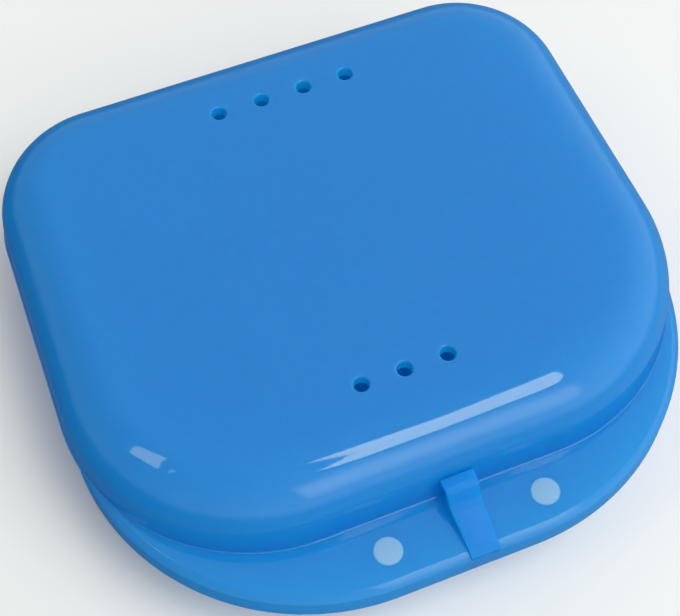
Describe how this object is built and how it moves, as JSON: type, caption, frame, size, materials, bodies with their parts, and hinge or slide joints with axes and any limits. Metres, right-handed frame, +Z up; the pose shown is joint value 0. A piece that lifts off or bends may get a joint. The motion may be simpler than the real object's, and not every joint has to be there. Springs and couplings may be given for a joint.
{
  "type": "denture case",
  "caption": "Hinged flip-top denture case: rounded tray with a front flange, vented lid on two pinned hinges, and a snap strap.",
  "frame": {"origin": "centre of the flat resting face under the tray, below the middle of the lid", "axes": "+Z up, out of the lid's top; +Y towards the hinge; +X to the right as seen from the strap side"},
  "size_m": [0.079, 0.0786, 0.0245],
  "materials": {
    "case_plastic": "high gloss injection moulded, clear mid blue",
    "pin_plastic": "smooth moulded, same blue as the case",
    "disc_plastic": "pale blue, soft satin"
  },
  "bodies": {
    "tray": {"base_tray": "case_plastic", "hinge_pin_left": "pin_plastic", "hinge_pin_right": "pin_plastic", "flange_disc_left": "disc_plastic", "flange_disc_right": "disc_plastic"},
    "lid": {"lid_shell": "case_plastic"},
    "strap": {"latch_strap": "case_plastic"}
  },
  "joints": [
    {"name": "lid_hinge", "type": "hinge", "parent": "tray", "child": "lid", "pos_m": [0, 0.03535, 0.0126], "axis": [-1, 0, 0], "range_deg": [0, 180]},
    {"name": "strap_flex", "type": "hinge", "parent": "tray", "child": "strap", "pos_m": [0.0018, -0.0409, 0.01405], "axis": [1, 0, 0], "range_deg": [0, 75], "stiffness_Nm_per_rad": 0.01}
  ]
}
